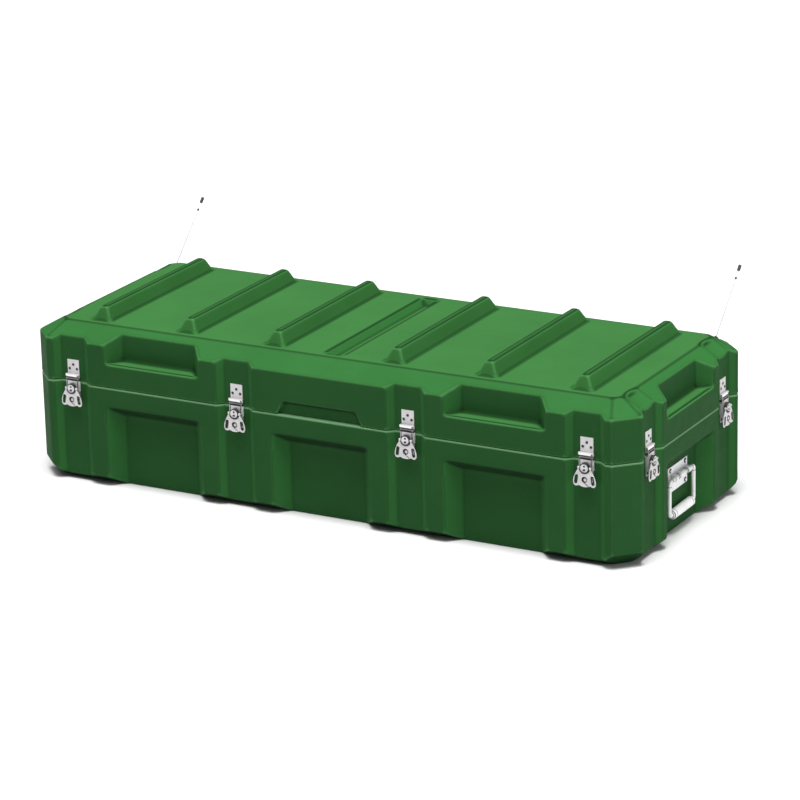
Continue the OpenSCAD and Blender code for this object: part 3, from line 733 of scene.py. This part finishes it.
def make_cam(name):
    """Turning disc with a dished face, two pin holes, a shaft with its lobe, and the cross pin."""
    node = "cam_" + name
    place = latch_place(name)
    face = -node_span(node, place)[0].y
    b = Build()
    # The disc's rim and sides are painted dark as shade in the gap round it.
    b.turned((0, 0, 0), (0, -1, 0), [
        (8.2, face - 6.4, 1), (8.9, face - 6.0, 1), (9.0, face - 0.8, 1), (8.75, face - 0.3, 1),
        (8.3, face - 0.05, 1), (7.5, face, 1), (7.3, face, 0), (6.4, face, 0), (6.1, face - 0.25, 0),
        (0.5, face - 0.3, 0)], 48)
    # The two pin holes are painted dark as shade.
    for z, r in ((3.2, 1.9), (-3.4, 2.1)):
        b.turned((0, -face + 0.4, z), (0, -1, 0),
                 [(r, 0, 1), (r, 0.22, 1), (0.7 * r, 0.32, 1), (0.1, 0.32, 1)], 16)
    # A dark line painted as shade across the face.
    b.tube([(-3.2, -face + 0.15, -4.6), (2.4, -face + 0.15, -1.8)], 0.4, sides=6, shade_and_highlight=1.0)
    b.turned((0, 1, 0), (0, -1, 0), [(3.2, 0, 0), (3.5, 0.4, 0), (3.5, 8.4, 0), (3.2, 8.4, 0)], 24)
    b.turned((0, 0, -3), (0, -1, 0), [(5.7, 3.0, 0), (6.0, 3.3, 0), (6.0, 7.6, 0), (5.8, 7.6, 0)], 32)
    b.turned((0, -pin_out(name), 0), (1, 0, 0),
             [(0.8, -13.5, 0), (1.25, -13.1, 0), (1.25, 13.1, 0), (0.8, 13.5, 0)], 16)
    return b.stand_for(node, node + "_turned", place)


def make_link(name):
    """Bent draw link: the CAD's sheet with a rolled hook painted bright as a highlight, and dark slots beside
    its flanges painted as shade.
    """
    node = "draw_link_" + name
    place = latch_place(name)
    low, high = node_span(node, place)
    b = Build()
    mesh = rounded(node, node + "_sheet", LINK_ROUND)
    back = place.inverted()
    b.add([back @ v.co for v in mesh.vertices], [list(p.vertices) for p in mesh.polygons])
    bpy.data.meshes.remove(mesh)
    half, face, top = high.x, -low.y, high.z
    blocks = [      # from and to across, from and to upwards, how proud, how deep, edge, painted shade (negative: painted highlight)
        # the hook bar, painted bright as a highlight
        (-half + 0.8, half - 4.4, top - 4.6, top - 0.6, 0.2, 1.2, 0.6, -1.0),
        # a dark block painted as shade beside the hook's end
        (half - 4.4, half - 0.8, top - 4.8, top - 1.6, 0.15, 1.2, 0.5, 0.85),
        # dark strips painted as shade in the slots beside the flanges
        (-11.85, -10.15, -8, 14.5, 0.12, 0.3, 0.08, 1.0),
        (10, 12, -8, 14.5, 0.12, 0.3, 0.08, 1.0),
        # the flange's outer face, painted bright as a highlight
        (half - 0.4, half + 0.15, -6, 13.5, -0.5, face - 1.5, 0.15, -1.0),
        # dark bands painted as shade where the keeper's lip shows through the window
        (-12.8, 13, 19.4, 21.4, 0.12, 0.3, 0.08, 1.0),
        (-12.8, 13, 17.4, 19.4, 0.1, 0.3, 0.08, 0.7),
        (-12.8, 13, 14.6, 16.8, 0.12, 0.3, 0.08, 1.0),
    ]
    for left, right, bottom, upper, proud, deep, edge, shade_and_highlight in blocks:
        b.slab((left, -face - proud, bottom), (right, -face + deep, upper), edge, shade_and_highlight)
    return b.stand_for(node, node + "_bent", place)


# ---- Rivets and bolts ----

END_REACH = 0.06        # a fastener this close to an end stands on the end wall


def outward(low, high):
    """The outward direction of the wall that a fastener stands on."""
    middle = (low + high) / 2
    if abs(middle.x) > HALF_L - END_REACH:
        return Vector((math.copysign(1, middle.x), 0, 0))
    return Vector((0, math.copysign(1, middle.y), 0))


def fasteners(node, name, head):
    """Turned heads in the place of every solid of a node. head gives the profile from the head's radius."""
    b = Build()
    for low, high in solids(node):
        out = outward(low, high)
        middle = (low + high) / 2
        reach = max(low.dot(out), high.dot(out))
        tip = (middle - middle.dot(out) * out + reach * out) * 1000
        radius = 500 * (high.z - low.z)
        depth = 1000 * abs((high - low).dot(out))
        b.turned(tip, out, head(radius, depth), 28)
    return b.stand_for(node, name, Matrix.Scale(MM, 4))


def rivet_head(radius, depth):
    """Domed rivet with a hollow middle; its crown and hollow are painted dark as shade."""
    return [(radius * 0.5, -depth, 0), (radius * 0.6, -depth, 0), (radius * 0.6, -0.75, 0),
            (radius, -0.72, 0.2), (radius * 0.95, -0.35, 0.3), (radius * 0.82, -0.08, 1),
            (radius * 0.7, 0, 1), (radius * 0.5, -0.12, 1), (0.1, -0.2, 1)]


def bolt_head(radius, depth):
    """Rounded bolt head: a shoulder ring painted dark as shade round a bright crown."""
    return [(radius * 0.5, -depth, 0), (radius * 0.55, -depth, 0), (radius * 0.55, -2.4, 0),
            (radius, -2.4, 1), (radius, -1.9, 1), (radius * 0.93, -1.5, 1), (radius * 0.58, -1.3, 1),
            (radius * 0.52, -1.0, 0), (radius * 0.48, -0.25, 0), (radius * 0.3, 0, 0), (0.1, 0, 0)]


# ---- End handles ----

BAIL_BEND_R = 7
SEAM = math.radians(58)     # how far down the grip's front its seam runs
COIL_R, COIL_WIRE, COIL_HALF = 4.2, 1.2, 18.7
COIL_PITCH = 1.9            # in radii of the wire
COIL_STEPS = 20             # in each turn


def bent_path(points, radius, steps=8):
    """Open path with its inner corners rounded."""
    path = [Vector(points[0])]
    for before, corner, after in zip(points, points[1:], points[2:]):
        corner = Vector(corner)
        a = (Vector(before) - corner).normalized()
        b = (Vector(after) - corner).normalized()
        start, end = corner + radius * a, corner + radius * b
        for k in range(steps + 1):
            t = k / steps
            path.append((1 - t) ** 2 * start + 2 * t * (1 - t) * corner + t ** 2 * end)
    path.append(Vector(points[-1]))
    return path


def handle_place(side):
    """An end handle's local frame, with its pivot as the origin."""
    joint = JOINTS["handle_%s_swing" % side]
    return place_at(joint["pos_m"], (SIDES[side], 0, 0))


def make_handle(side):
    """Bent bail and ringed grip of one end handle."""
    place = handle_place(side)
    low, high = node_span("bail_" + side, place)
    wire = high.z
    arm, bar = high.x - wire, low.z + wire
    b = Build()
    corners = [(-21, 0, 0), (-arm, 0, 0), (-arm, 0, bar), (arm, 0, bar), (arm, 0, 0), (21, 0, 0)]
    b.tube(bent_path(corners, BAIL_BEND_R), wire - 0.02, sides=20)
    # Dark rings painted as shade either side of each elbow.
    for end in (-1, 1):
        b.turned((end * (arm - 9), 0, 0), (1, 0, 0),
                 [(wire - 0.3, -0.7, 1), (wire + 0.25, -0.6, 1), (wire + 0.25, 0.6, 1),
                  (wire - 0.3, 0.7, 1)], 28)
        b.turned((end * arm, 0, -9), (0, 0, 1),
                 [(wire - 0.3, -0.6, 1), (wire + 0.15, -0.5, 1), (wire + 0.15, 0.5, 1),
                  (wire - 0.3, 0.6, 1)], 28)
    b.stand_for("bail_" + side, "bail_%s_bent" % side, place)

    low, high = node_span("grip_" + side, place)
    half, radius = high.x, (high.z - low.z) / 2
    centre = (low.z + high.z) / 2
    b = Build()
    # The grip's end rings: their grooves are painted dark as shade.
    rings = [(wire + 0.02, -half, 0), (wire + 0.3, -half, 0.9), (wire + 0.9, -half, 0.9),
             (wire + 1.1, -half, 0),
             (radius - 2.6, -half, 0), (radius - 2.0, -half + 0.3, 0), (radius - 1.8, -half + 0.9, 1),
             (radius - 1.3, -half + 1.6, 1), (radius - 0.5, -half + 1.9, 0), (radius, -half + 3, 0),
             (radius, -half + 7, 0), (radius - 0.7, -half + 7.6, 0.8), (radius - 0.7, -half + 8.6, 0.8),
             (radius, -half + 9.2, 0)]
    mirrored = [(r, -along, mark) for r, along, mark in reversed(rings)]
    b.turned((0, 0, centre), (1, 0, 0), rings + mirrored, 40)
    # A dark line painted as shade along the grip's seam.
    seam = Vector((0, -math.cos(SEAM), -math.sin(SEAM))) * (radius - 0.05) + Vector((0, 0, centre))
    b.tube([seam + Vector((-half + 9.5, 0, 0)), seam + Vector((half - 9.5, 0, 0))], 0.35, sides=6, shade_and_highlight=0.9)
    b.stand_for("grip_" + side, "grip_%s_moulded" % side, place, smooth=30)


def make_springs():
    """Coil springs on the handles' pivots, with their straight tails."""
    turns = 2 * COIL_HALF / (COIL_PITCH * COIL_WIRE)
    steps = int(turns * COIL_STEPS)
    coil = [(-COIL_HALF + 2 * COIL_HALF * k / steps, COIL_R * math.cos(2 * math.pi * turns * k / steps),
             COIL_R * math.sin(2 * math.pi * turns * k / steps)) for k in range(steps + 1)]
    b = Build()
    for side in SIDES:
        place = handle_place(side)
        start = len(b.co)
        b.tube(coil, COIL_WIRE, sides=8)
        for end in (coil[0], coil[-1]):
            b.tube([end, (end[0], 3.0, 1.0), (end[0], 7.2, 0.8)], COIL_WIRE * 0.85, sides=8)
        # Dark rings painted as shade round the coil near its ends.
        for ring in (-1, 1):
            b.turned((ring * 17.6, 0, 0), (1, 0, 0),
                     [(4.9, -0.8, 1), (5.7, -0.7, 1), (5.7, 0.7, 1), (4.9, 0.8, 1)], 32)
            b.turned((ring * 12.6, 0, 0), (1, 0, 0),
                     [(4.9, -0.5, 1), (5.6, -0.4, 1), (5.6, 0.4, 1), (4.9, 0.5, 1)], 32)
        b.co[start:] = [place @ c for c in b.co[start:]]
    b.stand_for("handle_springs", "handle_springs_coiled", Matrix.Identity(4))


# ---- Rods on the lid ----

def make_rod_caps():
    """Small capped ends and stops of the two lid rods, turned about the rods' own line."""
    for node, name in (("rod_caps", "rod_caps_turned"), ("rod_stops", "rod_stops_turned")):
        b = Build()
        for low, high in solids(node):
            middle = 1000 * (low + high) / 2
            lean = Vector((0, 1, 1)).normalized()
            r = 1000 * (high.x - low.x) / 2
            half = 1000 * (high.y - low.y) * math.sqrt(0.5) - r
            b.turned(middle, lean, [(r * 0.7, -half, 0), (r, -half + 0.4, 0), (r, half * 0.5, 0),
                                    (r * 0.86, half * 0.6, 0), (r, half * 0.7, 0), (r * 0.95, half - 0.4, 0),
                                    (r * 0.6, half, 0)], 24)
        b.stand_for(node, name, Matrix.Scale(MM, 4))


# ---- The whole case ----

make_camera()
make_stage()
make_shell("base_shell", "base_moulding", [(ROUNDS, base_weight), (PANEL_ROUNDS, panel_weight)])
make_shell("lid_shell", "lid_moulding", [(ROUNDS, lid_weight)])
for latch in LATCHES:
    make_wing(latch)
    make_cam(latch)
    make_link(latch)
for fastener in ("latch_plate_rivets", "keeper_rivets", "hinge_base_rivets", "hinge_lid_rivets"):
    fasteners(fastener, fastener + "_domed", rivet_head)
fasteners("handle_bolts", "handle_bolts_domed", bolt_head)
for handle in SIDES:
    make_handle(handle)
make_springs()
make_rod_caps()
for fitting in ("gasket", "latch_plates", "keepers", "hinge_base_leaves", "hinge_lid_leaves", "hinge_pins",
                "handle_plates", "rod_sockets", "corner_rods"):
    piece(fitting + "_finished", rounded(fitting, fitting + "_finished", FITTING_ROUND), fitting)
